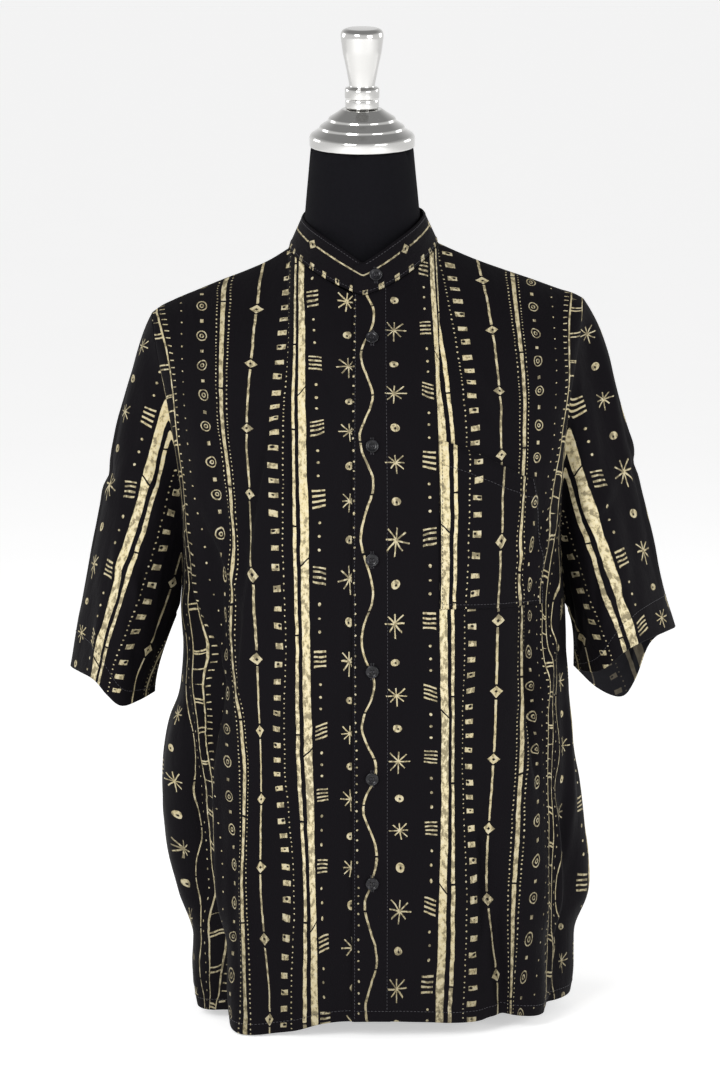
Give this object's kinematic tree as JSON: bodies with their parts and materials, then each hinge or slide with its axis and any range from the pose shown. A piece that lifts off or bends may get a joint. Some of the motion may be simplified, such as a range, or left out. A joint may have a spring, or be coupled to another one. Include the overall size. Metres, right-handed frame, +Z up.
{
  "type": "printed shirt on torso form",
  "caption": "Loose short-sleeved shirt in printed cloth, with a band collar, button front and chest pocket, on a limbless torso form with a stepped metal neck cap and knob.",
  "frame": {"origin": "centre of the form's flat foot, on the floor", "axes": "+Z up along the form, +X to the wearer's left, -Y out of the shirt's front"},
  "size_m": [0.5911, 0.325, 0.9547],
  "materials": {
    "printed_cotton": "soft woven cloth, near black with pale gold printed stripes, dots, stars and ladders",
    "black_jersey": "fine matt jersey stretched over the form",
    "black_button": "glossy black with four holes",
    "polished_chrome": "polished"
  },
  "bodies": {
    "root": {"front_left": "printed_cotton", "front_right": "printed_cotton", "back": "printed_cotton", "sleeve_left": "printed_cotton", "sleeve_right": "printed_cotton", "collar_band": "printed_cotton", "pocket": "printed_cotton", "button_collar": "black_button", "button_1": "black_button", "button_2": "black_button", "button_3": "black_button", "button_4": "black_button", "button_5": "black_button", "button_6": "black_button", "form": "black_jersey", "neck_cap": "polished_chrome", "neck_knob": "polished_chrome"}
  },
  "joints": []
}
